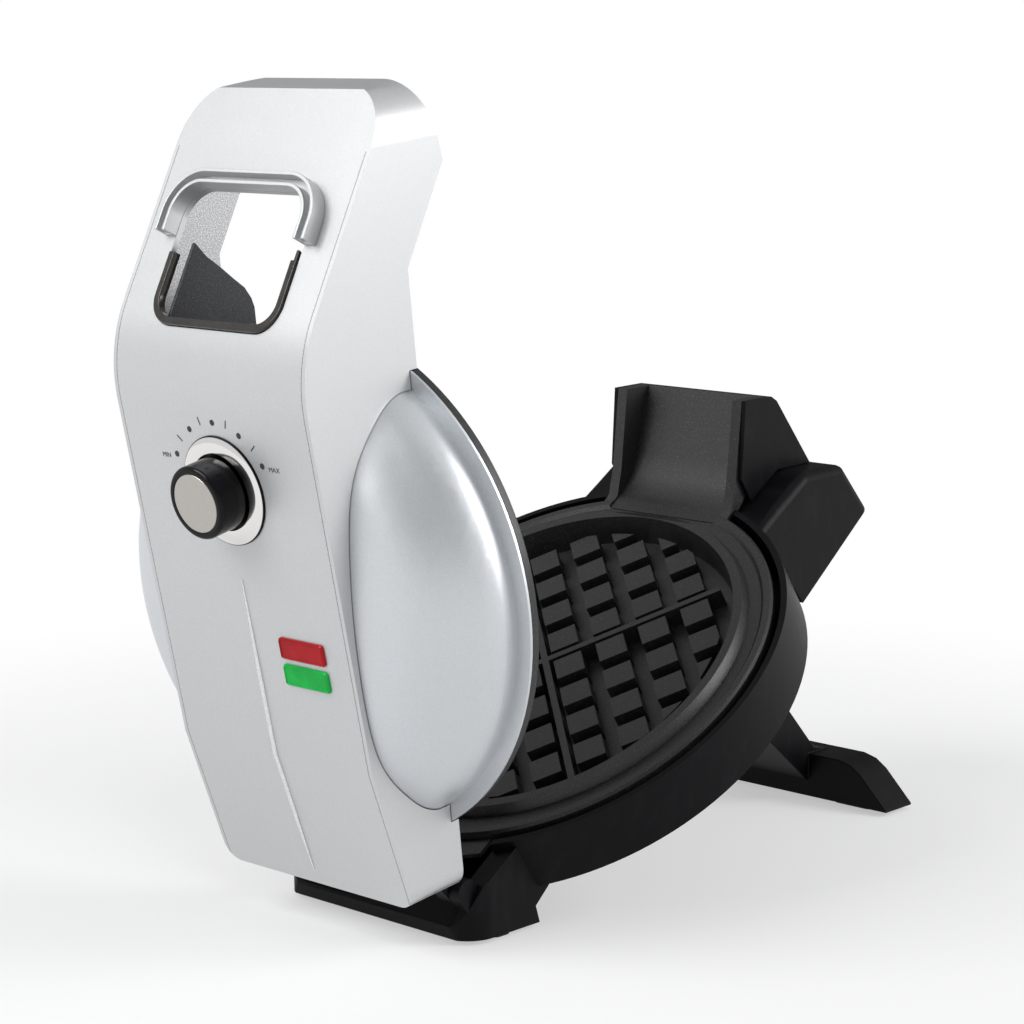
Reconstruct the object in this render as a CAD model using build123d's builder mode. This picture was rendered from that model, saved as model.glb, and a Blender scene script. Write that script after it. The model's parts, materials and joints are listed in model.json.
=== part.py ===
"""Upright flip waffle maker with a pour-in window, open on its hinge stop. Millimetres, +Z up.

The base half leans back on its feet and holds the lower plate. The lid half swings about one
cross axis near the front foot. Both halves are drawn in their own hinge frame, whose local axes
are X (width), V (from the hinge along the plate) and N (out of the plate, away from the base).
The origin is the middle of the footprint of the whole open machine, on the table.
"""
import os
from math import cos, radians, sin, sqrt

from build123d import *

os.makedirs("parts", exist_ok=True)

# ---- hinge and the two halves ---------------------------------------------------------
HINGE_Y = -97.245
HINGE_Z = 22.6
BASE_TILT = 34.1            # lower plate above the horizontal
LID_TILT = 96.9             # upper plate above the horizontal, open on its stop
PIN_R = 2.5
KNUCKLE_R = 5.5
PIN_PLAY = 0.05             # running clearance of a pin in its lug, on the radius
FIT = 0.3                   # gap between seated pieces
SCREW_R = 1.6
SCREW_HEAD_R = 3.0
SCREW_HEAD = 1.8
SCREW_LENGTH = 12.0

# ---- base half -------------------------------------------------------------------------
SKIRT_R = 112.3             # the plates, the hinge reach and the chute follow this size
HINGE_TO_SKIRT = 13.6
SKIRT_WALL = 2.8
SKIRT_TOP = 2.0
SKIRT_BOTTOM = -25.4
COVER_THICKNESS = 2.5
ARM_OUT = 56.0
ARM_IN = 46.4
ARM_TOP = -1.5
KNUCKLE_OUT = 52.0
PIN_END = 51.0
FOOT_CORNER_R = 14.0
SKIRT_TO_PLATE = 6.3
BEAD_TOP = 3.0
BEAD_WIDTH = 4.0
BAND_TOP = 1.6
BAND_SPAN = 13.7             # rim of the plate to the outside of its inner ridge
RIDGE_WIDTH = 3.0
RIDGE_TOP = 6.0
RIDGE_TO_CAVITY = 5.3
CAVITY_DEPTH = 14.0
PLATE_WALL = 3.5
BLOCK_SIZE = 13.0           # raised squares that press the pockets into a waffle
BLOCK_PITCH = 20.0
BLOCK_HEIGHT = 9.0
BLOCK_ROWS = 8
CROSS_WIDTH = 3.0
BOSS_R = 5.0
BOSS_REAR = 42.0
CAVITY_TO_BOSS = 9.0

# ---- pouring chute on the lower plate -----------------------------------------------------
CHUTE_BACK = 31.0           # half widths inside the channel
CHUTE_FRONT = 34.5
CHUTE_WALL = 1.8
SHROUD_WALL = 2.0
CHUTE_FLOOR = 2.0
CHUTE_START = -16.2           # along V from the skirt's far edge: where the chute leaves the plate
CHUTE_BEND = -0.2
CHUTE_RISE = 13.8
CHUTE_RIM_FRONT = 24.3
CHUTE_RIM_BACK = 37.3
SHROUD_START = 2.8
RIM_GAP = 0.8               # rim of the chute below the inside of the closed lid

# ---- rear block and leg ---------------------------------------------------------------------
BLOCK_HALF = 55.0
BLOCK_WALL = 2.5
LEG_BEHIND = 33.6             # front of the rear leg's bar behind the skirt's reach
LEG_THICKNESS = 21.3
LEG_HALF = 66.0
LEG_BAR = 23.2
POST_HALF = 20.0
GLAND_R = 6.0
CORD_R = 3.5
LEG_SCREWS = [(14.0, 68.0), (-14.0, 68.0)]
PAD_THICKNESS = 2.0
PAD_WIDTH = 22.0
PAD_DEPTH = 10.0
PAD_INSET = 14.0              # middle of a pad inside the end of its foot
LEG_PAD_INSET = 24.0

# ---- lid half ---------------------------------------------------------------------------------
SHELL_HALF = 55.0
SHELL_WALL = 2.5
SHELL_TOP_R = 22.0
SHELL_FOOT_R = 8.0
WAIST_R = 60.0
SHELL_BACK = 4.4
LID_OVERHANG = 0.8            # the lid's plate is larger than the base's by this
LID_RIM = 3.4
LID_RIM_THICKNESS = 3.8
LID_STEP = 3.2                # the rim stands below the plate's inner band by this
UPPER_CAVITY = 12.0
FLANGE_THICKNESS = 1.2
DOME_WALL = 1.5
DOME_FLANGE = 6.3
DOME_KNEE = 6.0               # straight foot of the dome above its flange
DOME_TOP = 52.5
SLOT_INSET = 5.0              # edge of the dome's slot inside the strip's side
LUG_IN = 39.0
LUG_OUT = 46.0
WINDOW_SILL = 1.5             # the window's sill beyond the skirt's far edge, when closed
WINDOW_HALF = 36.6
WINDOW_HEIGHT = 57.0
WINDOW_R = 12.5
TRIM_WALL = 3.2
TRIM_HEIGHT = 30.0
TRIM_RISE = 1.2
HOOD_RISE = 7.0
HOOD_WIDTH = 6.0
HOOD_LENGTH = 20.5
HOOD_WALL = 1.5
HOOD_FLOOR = 2.0
GUIDE_HALF = 29.0
GUIDE_WALL = 1.8
GUIDE_DEPTH = 3.8             # top of the batter guide behind the front face

# ---- dial --------------------------------------------------------------------------------------
DIAL_V = 176.7
BEZEL_R = 22.5
BEZEL_THICKNESS = 2.5
KNOB_R = 14.8
KNOB_LENGTH = 12.8
KNOB_CAP_R = 11.8
KNOB_CAP_THICKNESS = 1.0
SHAFT_R = 3.0
SHAFT_PLAY = 0.08
THERMOSTAT_R = 12.0
THERMOSTAT_LENGTH = 18.0
LENS_WIDTH = 25.0
LENS_HEIGHT = 9.0
LENS_THICKNESS = 4.0
LENS_X = 28.0
LENS_V = 114.0
LENS_PITCH = 11.2

# ---- heaters ------------------------------------------------------------------------------------
CAVITY_TO_HEATER = 25.0
HEATER_TUBE = 3.2
HEATER_GAP_ANGLE = 40.0
CAVITY_TO_SHIELD = 3.0
SHIELD_THICKNESS = 0.8
FUSE_R = 2.2
FUSE_LENGTH = 16.0
TERMINAL_WIDTH = 40.0
TERMINAL_DEPTH = 14.0
TERMINAL_HEIGHT = 12.0

# ---- sizes that follow from others -----------------------------------------------------------------
PLATE_CENTRE = SKIRT_R + HINGE_TO_SKIRT
PLATE_R = SKIRT_R - SKIRT_TO_PLATE
RIDGE_R = PLATE_R - BAND_SPAN
CAVITY_R = RIDGE_R - RIDGE_TO_CAVITY
LID_PLATE_R = PLATE_R + LID_OVERHANG
HEATER_R = CAVITY_R - CAVITY_TO_HEATER
SHIELD_R = CAVITY_R - CAVITY_TO_SHIELD
BOSS_REACH = CAVITY_R - CAVITY_TO_BOSS
DOME_SLOT_HALF = SHELL_HALF - SLOT_INSET
EDGE_V = PLATE_CENTRE + SKIRT_R         # far edge of the skirt, from the hinge axis

# ---- frames --------------------------------------------------------------------------------------
HINGE = (0, HINGE_Y, HINGE_Z)
leg_front = HINGE_Y + EDGE_V + LEG_BEHIND


def half_plane(tilt):
    """Local X, V, N frame of a half that leans by tilt."""
    return Plane(origin=HINGE, x_dir=(1, 0, 0), z_dir=(0, -sin(radians(tilt)), cos(radians(tilt))))


def side_plane(tilt):
    """Frame for side profiles: local x is V, local y is N, and it extrudes along X."""
    return Plane(origin=HINGE, x_dir=(0, cos(radians(tilt)), sin(radians(tilt))), z_dir=(1, 0, 0))


def moved(plane, x, v, n):
    """The same frame with its origin at a local point."""
    return Plane(origin=plane.from_local_coords((x, v, n)), x_dir=plane.x_dir, z_dir=plane.z_dir)


base = half_plane(BASE_TILT)
base_side = side_plane(BASE_TILT)
base_disc = moved(base, 0, PLATE_CENTRE, 0)
lid = half_plane(LID_TILT)
lid_side = side_plane(LID_TILT)
lid_disc = moved(lid, 0, PLATE_CENTRE, 0)


def radial(disc):
    """Frame for profiles that turn about a disc's axis: local x is the radius, local y is N."""
    return Plane(origin=disc.origin, x_dir=disc.x_dir, z_dir=-disc.y_dir)


def disc_axis(disc):
    return Axis(disc.origin, disc.z_dir)


def screws(node, plane, places, length):
    """A group of equal pan-head screws whose heads stand on the plane, shanks going in."""
    with BuildPart() as group:
        with BuildSketch(plane):
            with Locations(*places):
                Circle(SCREW_HEAD_R)
        extrude(amount=SCREW_HEAD)
        with BuildSketch(plane):
            with Locations(*places):
                Circle(SCREW_R)
        extrude(amount=-length)
    group.part.label = node
    export_step(group.part, "parts/" + node + ".step")


# ---- lid front face lines ---------------------------------------------------------------------
BELLY_FOOT = (66.0, 48.5)
WAIST = (EDGE_V - 8.3, 65.0)
CROWN_FRONT = (EDGE_V + 85.8, 5.0)
CROWN_BACK = (EDGE_V + 87.4, -13.6)
FLARE_TIP = (EDGE_V + 56.0, -19.5)
FLARE_ROOT = (EDGE_V + 18.4, SHELL_BACK)
TOE_FRONT = (4.7, 33.0)
TOE_BACK = (4.7, SHELL_BACK)

shell_outline = [TOE_BACK, TOE_FRONT, BELLY_FOOT, WAIST, CROWN_FRONT, CROWN_BACK, FLARE_TIP, FLARE_ROOT]


def line_frame(half, start, end, v):
    """Frame on a face of a half where it passes V = v; local y runs along the face, z outward."""
    slope = (end[1] - start[1]) / (end[0] - start[0])
    run = sqrt(1 + slope * slope)
    spot = half.from_local_coords((0, v, start[1] + slope * (v - start[0])))
    tip = half.from_local_coords((0, v - slope, start[1] + slope * (v - start[0]) + 1))
    return Plane(origin=spot, x_dir=(1, 0, 0), z_dir=(tip - spot) / run)


window_sill = EDGE_V + WINDOW_SILL
window = line_frame(lid, WAIST, CROWN_FRONT, window_sill)
dial = line_frame(lid, BELLY_FOOT, WAIST, DIAL_V)
lamps = line_frame(lid, BELLY_FOOT, WAIST, LENS_V - LENS_PITCH / 2)
front_slope = (CROWN_FRONT[1] - WAIST[1]) / (CROWN_FRONT[0] - WAIST[0])


def inside_front(v, depth):
    """N of the line that runs depth inside the upper front face."""
    return WAIST[1] + front_slope * (v - WAIST[0]) - depth * sqrt(1 + front_slope * front_slope)


def window_outline(grow, top):
    """The window's rounded outline, grown by a margin; top is its height above the sill."""
    width = 2 * (WINDOW_HALF + grow)
    with Locations((0, top / 2)):
        RectangleRounded(width, top + 2 * grow, WINDOW_R + grow)


# ---- base housing: round skirt, two arms, front foot --------------------------------------------
ARM_OUTLINE = [(6.0, ARM_TOP), (2.0, ARM_TOP - 1.8), (-11.6, -10.6), (-14.1, -17.1), (20.1, -40.6),
               (22.8, -31.2), (33.5, -29.7), (40.0, SKIRT_BOTTOM), (40.0, ARM_TOP)]
COVER_SCREWS = [(BOSS_REACH, 0), (-BOSS_REACH, 0), (0, -BOSS_REACH), (0, BOSS_REAR)]

foot_front = base_side.from_local_coords(ARM_OUTLINE[2]).Y

with BuildPart() as base_housing:
    with BuildSketch(base_disc.offset(SKIRT_BOTTOM)):
        Circle(SKIRT_R)
    extrude(amount=SKIRT_TOP - SKIRT_BOTTOM)
    with BuildSketch(base_side):
        Polygon(*ARM_OUTLINE, align=None)
    extrude(amount=ARM_OUT, both=True)
    with BuildSketch(Plane.XY):
        for sign in (-1, 1):
            with Locations((sign * (ARM_OUT - FOOT_CORNER_R / 2 + 1), foot_front + FOOT_CORNER_R / 2 - 2)):
                Rectangle(FOOT_CORNER_R + 2, FOOT_CORNER_R + 4)
        with Locations((ARM_OUT - FOOT_CORNER_R, foot_front + FOOT_CORNER_R),
                       (FOOT_CORNER_R - ARM_OUT, foot_front + FOOT_CORNER_R)):
            Circle(FOOT_CORNER_R, mode=Mode.SUBTRACT)
    extrude(amount=HINGE_Z + 10, mode=Mode.SUBTRACT)
    with BuildSketch(base_side):
        Circle(KNUCKLE_R)
        Polygon((-KNUCKLE_R, 0), (-KNUCKLE_R + 1, -14), (KNUCKLE_R, -14), (KNUCKLE_R, 0), align=None)
    extrude(amount=KNUCKLE_OUT, both=True)
    with BuildSketch(base_disc.offset(SKIRT_BOTTOM)):
        Circle(SKIRT_R - SKIRT_WALL)
    extrude(amount=SKIRT_TOP - SKIRT_BOTTOM + 10, mode=Mode.SUBTRACT)
    with BuildSketch(base_side):
        Polygon((-30, 12), (-30, -10.0), (-8.0, -10.0), (4.0, -9.0), (16.0, -11.0), (30.0, -18.2), (30.0, 12),
                align=None)
    extrude(amount=ARM_IN, both=True, mode=Mode.SUBTRACT)
    with BuildSketch(base_side):
        Circle(PIN_R)
    extrude(amount=PIN_END, both=True, mode=Mode.SUBTRACT)
    with BuildSketch(base.offset(CHUTE_FLOOR - CHUTE_WALL - FIT)):
        with Locations((0, PLATE_CENTRE + SKIRT_R)):
            Rectangle(2 * (CHUTE_FRONT + CHUTE_WALL + FIT), 40)
    extrude(amount=10, mode=Mode.SUBTRACT)
    with BuildSketch(Plane.XY.offset(PAD_THICKNESS)):
        Rectangle(400, 600)
    extrude(amount=-30, mode=Mode.SUBTRACT)
base_housing.part.label = "base_housing"
export_step(base_housing.part, "parts/base_housing.step")

# ---- bottom cover with its screw posts --------------------------------------------------------------
cover_top = SKIRT_BOTTOM + COVER_THICKNESS
with BuildPart() as bottom_cover:
    with BuildSketch(base_disc.offset(SKIRT_BOTTOM)):
        Circle(SKIRT_R - SKIRT_WALL - FIT)
    extrude(amount=COVER_THICKNESS)
    with BuildSketch(base_disc.offset(cover_top)):
        with Locations(*COVER_SCREWS):
            Circle(BOSS_R)
    extrude(amount=-CAVITY_DEPTH - PLATE_WALL + RIDGE_TOP - FIT - cover_top)
    with BuildSketch(base_disc.offset(SKIRT_BOTTOM)):
        with Locations(*COVER_SCREWS, *LEG_SCREWS):
            Circle(SCREW_R + FIT)
    extrude(amount=40, mode=Mode.SUBTRACT)
bottom_cover.part.label = "bottom_cover"
export_step(bottom_cover.part, "parts/bottom_cover.step")
screws("cover_screws", Plane(origin=base_disc.offset(SKIRT_BOTTOM).origin, x_dir=base_disc.x_dir,
                             z_dir=-base_disc.z_dir), [(x, -v) for x, v in COVER_SCREWS], SCREW_LENGTH)

# ---- lower plate: bead, band, ridge, cavity with its grid, tongue and pouring chute -------------------
cavity_floor = RIDGE_TOP - CAVITY_DEPTH
plate_under = cavity_floor - PLATE_WALL


def rim_point(v):
    """Point at V = v of the line where the chute ends, just inside the closed lid's front face."""
    return (v, inside_front(v, SHELL_WALL + RIM_GAP))


chute_start = EDGE_V + CHUTE_START
chute_rim_front = rim_point(EDGE_V + CHUTE_RIM_FRONT)
chute_rim_back = rim_point(EDGE_V + CHUTE_RIM_BACK)


def plate_profile():
    """Half section of the lower plate as radius and N."""
    Polygon((0, plate_under), (CAVITY_R + PLATE_WALL, plate_under), (RIDGE_R + 3, -2.0), (PLATE_R, -2.0),
            (PLATE_R, BEAD_TOP - 1.0), (PLATE_R - 1.0, BEAD_TOP), (PLATE_R - BEAD_WIDTH, BEAD_TOP),
            (PLATE_R - BEAD_WIDTH - 1.5, BAND_TOP), (RIDGE_R + 3, BAND_TOP), (RIDGE_R + 1, RIDGE_TOP),
            (RIDGE_R - RIDGE_WIDTH, RIDGE_TOP), (CAVITY_R, cavity_floor), (0, cavity_floor), align=None)


def waffle_grid(disc, floor, height):
    """Squares in rows at 45 degrees, with a thin cross that parts the waffle in four."""
    floor_centre = disc.offset(floor).origin
    with BuildSketch(Plane(origin=floor_centre, x_dir=disc.x_dir + disc.y_dir, z_dir=disc.z_dir)) as grid:
        with GridLocations(BLOCK_PITCH, BLOCK_PITCH, BLOCK_ROWS, BLOCK_ROWS):
            Rectangle(BLOCK_SIZE, BLOCK_SIZE)
        Rectangle(2 * CAVITY_R, CROSS_WIDTH)
        Rectangle(CROSS_WIDTH, 2 * CAVITY_R)
        Circle(CAVITY_R - 4, mode=Mode.INTERSECT)
    extrude(grid.sketch, amount=height)


def chute_curve(grow):
    """Inner back line of the chute from the band up to its rim, moved outward by grow."""
    return [(chute_start, CHUTE_FLOOR - grow), (EDGE_V + CHUTE_BEND + grow * 0.4, CHUTE_FLOOR - grow),
            (EDGE_V + CHUTE_RISE + grow * 0.8, CHUTE_FLOOR + 9.0 - grow * 0.6),
            rim_point(chute_rim_back[0] + grow)]


with BuildPart() as lower_plate:
    with BuildSketch(radial(base_disc)):
        plate_profile()
    revolve(axis=disc_axis(base_disc))
    waffle_grid(base_disc, cavity_floor, BLOCK_HEIGHT)
    with BuildSketch(base.offset(-2.0)):
        Polygon((-34, 9), (34, 9), (34, 16), (43, 20), (43, 36), (-43, 36), (-43, 20), (-34, 16), align=None)
    extrude(amount=2.0)
    front_line = [chute_rim_front, (EDGE_V + CHUTE_BEND, CHUTE_FLOOR + 9.0), (chute_start + 7.5, BEAD_TOP),
                  (chute_start, CHUTE_FLOOR)]
    with BuildSketch(base_side):
        Polygon(*front_line, *chute_curve(CHUTE_WALL), align=None)
    extrude(amount=CHUTE_FRONT + CHUTE_WALL, both=True)
    with BuildSketch(base_side):
        Polygon((chute_rim_front[0] - 30, chute_rim_front[1] + 30), (chute_start - 32, CHUTE_FLOOR + 20),
                (chute_start, CHUTE_FLOOR), *chute_curve(0)[1:],
                (chute_rim_back[0] + 20, chute_rim_back[1] + 22), align=None)
    extrude(amount=CHUTE_BACK, both=True, mode=Mode.SUBTRACT)
    with BuildSketch(base_disc.offset(RIDGE_TOP)):
        Circle(RIDGE_R - 1)
    extrude(amount=30, mode=Mode.SUBTRACT)
lower_plate.part.label = "lower_plate"
export_step(lower_plate.part, "parts/lower_plate.step")

BLOCK_OUTLINE = [(EDGE_V - 20.2, -0.6), (EDGE_V + 1.8, -0.6), (EDGE_V + 25.4, -1.2), (EDGE_V + 50.2, -16.8),
                 (EDGE_V + 54.4, -45.6), (EDGE_V - 8.5, -49.9), (EDGE_V - 10.7, -31.2), (EDGE_V - 20.2, -27.0)]


def on_line(start, end, v):
    """N where the line through two outline points passes V = v."""
    return start[1] + (end[1] - start[1]) * (v - start[0]) / (end[0] - start[0])


def block_floor(v):
    """N of the rear block's underside at V = v."""
    return on_line(BLOCK_OUTLINE[5], BLOCK_OUTLINE[4], v)


terminal_v = EDGE_V + 23.8
shroud_foot_v = EDGE_V + 46.3
shroud_foot = (shroud_foot_v, on_line(BLOCK_OUTLINE[2], BLOCK_OUTLINE[3], shroud_foot_v) + FIT)
gland_face = line_frame(base, BLOCK_OUTLINE[3], BLOCK_OUTLINE[4], EDGE_V + 52.3)

# ---- shroud that wraps the chute, standing on the rear block ---------------------------------------
shroud_half = CHUTE_FRONT + CHUTE_WALL + FIT + SHROUD_WALL
shroud_front = EDGE_V + SHROUD_START
shroud_back = chute_rim_back[0] + CHUTE_WALL + 4 * FIT
with BuildPart() as chute_shroud:
    with BuildSketch(base_side):
        Polygon(chute_rim_front, (shroud_front, CHUTE_FLOOR + 10.0), (shroud_front, BLOCK_OUTLINE[1][1] + FIT),
                (BLOCK_OUTLINE[2][0] + 0.2, BLOCK_OUTLINE[2][1] + FIT), shroud_foot,
                (shroud_back + SHROUD_WALL, chute_rim_back[1] - 6), rim_point(shroud_back), align=None)
    extrude(amount=shroud_half, both=True)
    with BuildSketch(base_side):
        Polygon((EDGE_V - 8, 60), (EDGE_V - 8, -20),
                *[(v + FIT, n - FIT) for v, n in chute_curve(CHUTE_WALL)[1:]],
                (chute_rim_back[0] + CHUTE_WALL + FIT, 60), align=None)
    extrude(amount=shroud_half - SHROUD_WALL, both=True, mode=Mode.SUBTRACT)
chute_shroud.part.label = "chute_shroud"
export_step(chute_shroud.part, "parts/chute_shroud.step")

# ---- rear block: hollow terminal housing behind the skirt --------------------------------------------
with BuildPart() as rear_block:
    with BuildSketch(base_side):
        Polygon(*BLOCK_OUTLINE, align=None)
    extrude(amount=BLOCK_HALF, both=True)
    with BuildSketch(base_side):
        Polygon(*BLOCK_OUTLINE, align=None)
        offset(amount=-BLOCK_WALL)
    extrude(amount=BLOCK_HALF - BLOCK_WALL, both=True, mode=Mode.SUBTRACT)
    with BuildSketch(base_disc.offset(SKIRT_BOTTOM)):
        Circle(SKIRT_R + FIT)
    extrude(amount=60, mode=Mode.SUBTRACT)
    with BuildSketch(base_disc.offset(SKIRT_BOTTOM)):
        Circle(SKIRT_R - 3)
    extrude(amount=-40, mode=Mode.SUBTRACT)
    with BuildSketch(gland_face):
        Circle(GLAND_R + FIT)
    extrude(amount=-2 * BLOCK_WALL, mode=Mode.SUBTRACT)
rear_block.part.label = "rear_block"
export_step(rear_block.part, "parts/rear_block.step")

# ---- rubber gland where the power cord enters the rear block -------------------------------------------
with BuildPart() as cord_gland:
    with BuildSketch(gland_face):
        Circle(GLAND_R + 2.5)
    extrude(amount=2.0)
    with BuildSketch(gland_face):
        Circle(GLAND_R)
    extrude(amount=-BLOCK_WALL - 2.0)
    with BuildSketch(gland_face.offset(-10)):
        Circle(CORD_R)
    extrude(amount=20, mode=Mode.SUBTRACT)
cord_gland.part.label = "cord_gland"
export_step(cord_gland.part, "parts/cord_gland.step")

# ---- rear leg: upright post on a cross bar -------------------------------------------------------------
leg_back = leg_front + LEG_THICKNESS
post_front = base_disc.from_local_coords((0, 52.0, SKIRT_BOTTOM))
post_rear = base_disc.from_local_coords((0, 84.0, SKIRT_BOTTOM))
with BuildPart() as rear_leg:
    with BuildSketch(Plane(origin=(0, leg_front, 0), x_dir=(1, 0, 0), z_dir=(0, -1, 0))):
        with BuildLine():
            Polyline((0, PAD_THICKNESS), (LEG_HALF, PAD_THICKNESS), (LEG_HALF - 0.5, PAD_THICKNESS + 1.2),
                     (LEG_HALF - 15, LEG_BAR - 5.6), (LEG_HALF - 21, LEG_BAR - 1.7), (LEG_HALF - 28, LEG_BAR),
                     (0, LEG_BAR))
            mirror(about=Plane.YZ)
        make_face()
    extrude(amount=-LEG_THICKNESS)
    with BuildSketch(Plane.YZ):
        Polygon((leg_front, LEG_BAR - 14), (leg_back, LEG_BAR - 14), (leg_back, LEG_BAR - 1),
                (leg_front + 5, LEG_BAR + 2), (post_rear.Y, post_rear.Z), (post_front.Y, post_front.Z), align=None)
    extrude(amount=POST_HALF, both=True)
    with BuildSketch(base_disc.offset(SKIRT_BOTTOM + 1)):
        with Locations(*LEG_SCREWS):
            Circle(SCREW_R + FIT)
    extrude(amount=-14, mode=Mode.SUBTRACT)
rear_leg.part.label = "rear_leg"
export_step(rear_leg.part, "parts/rear_leg.step")

screws("leg_screws", base_disc.offset(cover_top), LEG_SCREWS, SCREW_LENGTH)

# ---- rubber pads under the foot bar and the leg -------------------------------------------------------
front_pad_y = HINGE_Y + 20.0
rear_pad_y = leg_front + LEG_THICKNESS / 2
for side, sign in (("left", -1), ("right", 1)):
    pad_rows = [("front", ARM_OUT - PAD_INSET, front_pad_y), ("rear", LEG_HALF - LEG_PAD_INSET, rear_pad_y)]
    for row, reach, y in pad_rows:
        with BuildPart() as pad:
            with BuildSketch(Plane.XY):
                with Locations((sign * reach, y)):
                    RectangleRounded(PAD_WIDTH, PAD_DEPTH, 3.0)
            extrude(amount=PAD_THICKNESS)
        pad.part.label = "foot_pad_" + row + "_" + side
        export_step(pad.part, "parts/foot_pad_" + row + "_" + side + ".step")

# ---- hinge pins, pressed in the arms -------------------------------------------------------------------
for side, x in (("left", -1), ("right", 1)):
    with BuildPart() as pin:
        with BuildSketch(base_side.offset(x * LUG_IN)):
            Circle(PIN_R)
        extrude(amount=x * (PIN_END - LUG_IN))
    pin.part.label = "hinge_pin_" + side
    export_step(pin.part, "parts/hinge_pin_" + side + ".step")


# ---- heaters: a tube ring with two cold ends, held off the plate's back --------------------------------
def heater(node, disc, centre_n, leg):
    """Tube ring at centre_n on the disc, its two ends turned down by leg."""
    half_gap = radians(HEATER_GAP_ANGLE / 2)
    ends = [(HEATER_R * sin(side * half_gap), HEATER_R * cos(half_gap)) for side in (-1, 1)]
    turn = half_gap + radians(2.0)
    legs = [(HEATER_R * sin(side * turn), HEATER_R * cos(turn)) for side in (-1, 1)]
    with BuildPart() as ring:
        with BuildSketch(radial(disc)):
            with Locations((HEATER_R, centre_n)):
                Circle(HEATER_TUBE)
        revolve(axis=disc_axis(disc))
        with BuildSketch(disc.offset(centre_n - HEATER_TUBE - 1)):
            Polygon((0, 0), (ends[0][0] * 2, ends[0][1] * 2), (ends[1][0] * 2, ends[1][1] * 2), align=None)
        extrude(amount=2 * HEATER_TUBE + 2, mode=Mode.SUBTRACT)
        with BuildSketch(disc.offset(centre_n)):
            with Locations(*legs):
                Circle(HEATER_TUBE)
        extrude(amount=leg)
    ring.part.label = node
    export_step(ring.part, "parts/" + node + ".step")


def shield(node, disc, n, rise):
    """Shallow metal dish that keeps the heat at the plate."""
    with BuildPart() as dish:
        with BuildSketch(radial(disc)):
            Polygon((0, n), (SHIELD_R - 4, n), (SHIELD_R, n + rise), (SHIELD_R, n + rise + SHIELD_THICKNESS),
                    (SHIELD_R - 4.6, n + SHIELD_THICKNESS), (0, n + SHIELD_THICKNESS), align=None)
        revolve(axis=disc_axis(disc))
        with BuildSketch(disc.offset(n - 5)):
            with Locations(*COVER_SCREWS):
                Circle(BOSS_R + FIT)
            with Locations((0, HEATER_R)):
                Rectangle(2 * HEATER_R * sin(radians(HEATER_GAP_ANGLE / 2)) + 16, 22)
        extrude(amount=10, mode=Mode.SUBTRACT)
    dish.part.label = node
    export_step(dish.part, "parts/" + node + ".step")


lower_tube_n = plate_under - HEATER_TUBE
heater("lower_heater", base_disc, lower_tube_n, -6.0)
shield("lower_heat_shield", base_disc, lower_tube_n - HEATER_TUBE - SHIELD_THICKNESS, 1.0)

with BuildPart() as thermal_fuse:
    with BuildSketch(Plane(origin=base_disc.from_local_coords((-8.0, 15.0, plate_under - FUSE_R)),
                           x_dir=base_disc.y_dir, z_dir=base_disc.x_dir)):
        Circle(FUSE_R)
    extrude(amount=FUSE_LENGTH)
thermal_fuse.part.label = "thermal_fuse"
export_step(thermal_fuse.part, "parts/thermal_fuse.step")

with BuildPart() as terminal_block:
    with BuildSketch(base.offset(block_floor(terminal_v + TERMINAL_DEPTH / 2) + BLOCK_WALL + FIT)):
        with Locations((0, terminal_v)):
            Rectangle(TERMINAL_WIDTH, TERMINAL_DEPTH)
    extrude(amount=TERMINAL_HEIGHT)
terminal_block.part.label = "terminal_block"
export_step(terminal_block.part, "parts/terminal_block.step")

# ---- lid shell: centre strip with its window -----------------------------------------------------------
rim_under = LID_RIM + LID_STEP
upper_floor = rim_under + UPPER_CAVITY
upper_back = upper_floor + PLATE_WALL
flange_seat = LID_RIM + LID_RIM_THICKNESS
flange_face = flange_seat + FLANGE_THICKNESS
dome_foot_r = LID_PLATE_R - DOME_FLANGE
dome_line = [(dome_foot_r, flange_face + DOME_KNEE), (LID_PLATE_R * 0.866, 30.0), (LID_PLATE_R * 0.712, 44.5),
             (LID_PLATE_R * 0.543, 49.6)]


def dome_half(grow):
    """Edges of half the dome's outside section, down past the flange, grown by a margin."""
    with BuildLine() as section:
        skin = Spline(*[(r + grow, n + grow) for r, n in dome_line], (0, DOME_TOP + grow),
                      tangents=((-0.15, 1), (-1, 0)))
        Polyline(skin @ 1, (0, -40), (LID_PLATE_R + grow, -40),
                 (LID_PLATE_R + grow, flange_face + grow), (dome_foot_r + grow, flange_face + grow), skin @ 0)
    return section.edges()


def strip(shift, wall, top_r, foot_r):
    """Solid strip inside the shell's outline by wall, pushed back by shift, rounded in front view."""
    low = TOE_FRONT[0] + wall
    high = CROWN_FRONT[0] + 1.5 - wall
    half = SHELL_HALF - wall
    with BuildPart() as block:
        with BuildSketch(moved(lid_side, 0, -shift, -half)) as profile:
            Polygon(*shell_outline, align=None)
            fillet(profile.vertices().sort_by_distance(WAIST)[0], WAIST_R)
            if wall > 0:
                offset(amount=-wall, kind=Kind.INTERSECTION)
        extrude(amount=2 * half)
        with BuildSketch(lid.offset(-80)) as front:
            with Locations((0, (low + high) / 2)):
                Rectangle(2 * half, high - low)
            fillet(front.vertices().sort_by(Axis.Y)[-2:], top_r)
            fillet(front.vertices().sort_by(Axis.Y)[:2], foot_r)
        extrude(amount=200, mode=Mode.INTERSECT)
    return block.part


def dome_room():
    """The room that the dome needs at both sides of its slot, where the strip's side walls stand on it."""
    with BuildPart() as room:
        with BuildSketch(radial(lid_disc)):
            make_face(dome_half(FIT))
        revolve(axis=disc_axis(lid_disc))
        with BuildSketch(lid_disc.offset(flange_face + FIT)):
            Rectangle(2 * DOME_SLOT_HALF - 1, 3 * LID_PLATE_R)
        extrude(amount=80, mode=Mode.SUBTRACT)
    return room.part


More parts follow.
